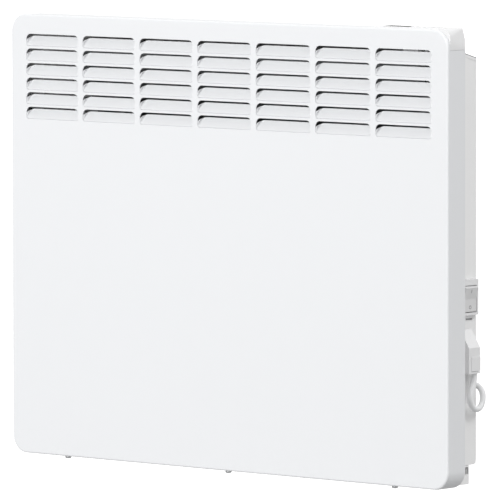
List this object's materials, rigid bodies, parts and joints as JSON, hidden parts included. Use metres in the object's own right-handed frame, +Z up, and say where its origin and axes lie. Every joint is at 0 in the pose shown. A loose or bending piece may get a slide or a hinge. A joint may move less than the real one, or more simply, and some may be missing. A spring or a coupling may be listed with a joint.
{
  "type": "wall panel convector heater",
  "caption": "Slim white wall convector with louvred steel front, corner control unit with display and keys, rear box with side rocker switch, mains lead and hook-on wall bracket.",
  "frame": {"origin": "middle of the wall bracket crossbar's rear face, in the wall's plane, level with the middle of the front casing's height and width", "axes": "+X to the right as seen from the front, +Y from the heater into the wall, +Z up"},
  "size_m": [0.582, 0.1, 0.455],
  "materials": {
    "white_enamel": "smooth white baked enamel, satin gloss",
    "box_enamel": "white baked enamel, satin",
    "white_plastic": "smooth moulded white plastic",
    "clear_lens": "clear moulded lens",
    "display_glass": "display cell, unlit",
    "board_green": "circuit board",
    "steel": "plated screw steel",
    "zinc_sheet": "galvanised sheet",
    "aluminium": "drawn fins, dull",
    "ceramic": "unglazed ceramic",
    "black_plastic": "moulded black plastic",
    "winding": "taped winding",
    "grey_plastic": "moulded grey plastic",
    "brass": "bright brass",
    "cord_white": "smooth white cord jacket",
    "plug_white": "moulded white plug",
    "wire_brown": "wire insulation",
    "wire_blue": "wire insulation",
    "wire_green": "wire insulation",
    "wire_grey": "flat ribbon"
  },
  "bodies": {
    "heater": {"front_casing": "white_enamel", "back_box": "box_enamel", "inlet_grille": "box_enamel", "control_housing": "white_plastic", "control_carrier": "white_plastic", "switch_housing": "white_plastic", "cable_entry_housing": "white_plastic", "cord_clamp": "white_plastic", "display_lens": "clear_lens", "display_module": "display_glass", "control_board": "board_green", "power_board": "board_green", "bottom_screw_1": "steel", "bottom_screw_2": "steel", "bottom_screw_3": "steel", "rear_screw_1": "steel", "rear_screw_2": "steel", "rear_screw_3": "steel", "rear_screw_4": "steel", "overheat_cutout": "steel", "latch_pin_left": "steel", "latch_pin_right": "steel", "heat_shield": "zinc_sheet", "top_deflector": "zinc_sheet", "bracket_crossbar": "zinc_sheet", "cord_rail": "zinc_sheet", "bracket_upright_left": "zinc_sheet", "bracket_upright_right": "zinc_sheet", "heating_element": "aluminium", "element_insulator_left": "ceramic", "element_insulator_right": "ceramic", "terminal_block": "ceramic", "power_relay": "black_plastic", "cord_tie": "black_plastic", "supply_transformer": "winding", "room_sensor": "grey_plastic", "earth_stud": "brass", "supply_lead_end": "cord_white", "mains_cord_lead": "cord_white", "mains_cord_hank": "cord_white", "mains_cord_tail": "cord_white", "plug_body": "plug_white", "plug_pin_neutral": "brass", "plug_pin_earth": "brass", "plug_pin_live": "brass", "wire_switch": "wire_brown", "wire_board": "wire_brown", "wire_element": "wire_blue", "wire_earth": "wire_green", "control_ribbon": "wire_grey"},
    "rocker": {"rocker": "white_plastic"},
    "key_menu": {"key_menu": "white_plastic"},
    "key_minus": {"key_minus": "white_plastic"},
    "key_plus": {"key_plus": "white_plastic"},
    "key_ok": {"key_ok": "white_plastic"},
    "latch_left": {"latch_left": "zinc_sheet"},
    "latch_right": {"latch_right": "zinc_sheet"}
  },
  "joints": [
    {"name": "rocker_tip", "type": "hinge", "parent": "heater", "child": "rocker", "pos_m": [0.2685, -0.044, -0.0413], "axis": [0, -1, 0], "range_deg": [0, 14]},
    {"name": "key_menu_press", "type": "slide", "parent": "heater", "child": "key_menu", "axis": [0, 0, -1], "range_m": [0, 0.001], "stiffness_N_per_m": 300},
    {"name": "key_minus_press", "type": "slide", "parent": "heater", "child": "key_minus", "axis": [0, 0, -1], "range_m": [0, 0.001], "stiffness_N_per_m": 300},
    {"name": "key_plus_press", "type": "slide", "parent": "heater", "child": "key_plus", "axis": [0, 0, -1], "range_m": [0, 0.001], "stiffness_N_per_m": 300},
    {"name": "key_ok_press", "type": "slide", "parent": "heater", "child": "key_ok", "axis": [0, 0, -1], "range_m": [0, 0.001], "stiffness_N_per_m": 300},
    {"name": "latch_left_swing", "type": "hinge", "parent": "heater", "child": "latch_left", "pos_m": [-0.19, -0.014, 0.174], "axis": [-1, 0, 0], "range_deg": [0, 40]},
    {"name": "latch_right_swing", "type": "hinge", "parent": "heater", "child": "latch_right", "pos_m": [0.19, -0.014, 0.174], "axis": [-1, 0, 0], "range_deg": [0, 40]}
  ]
}
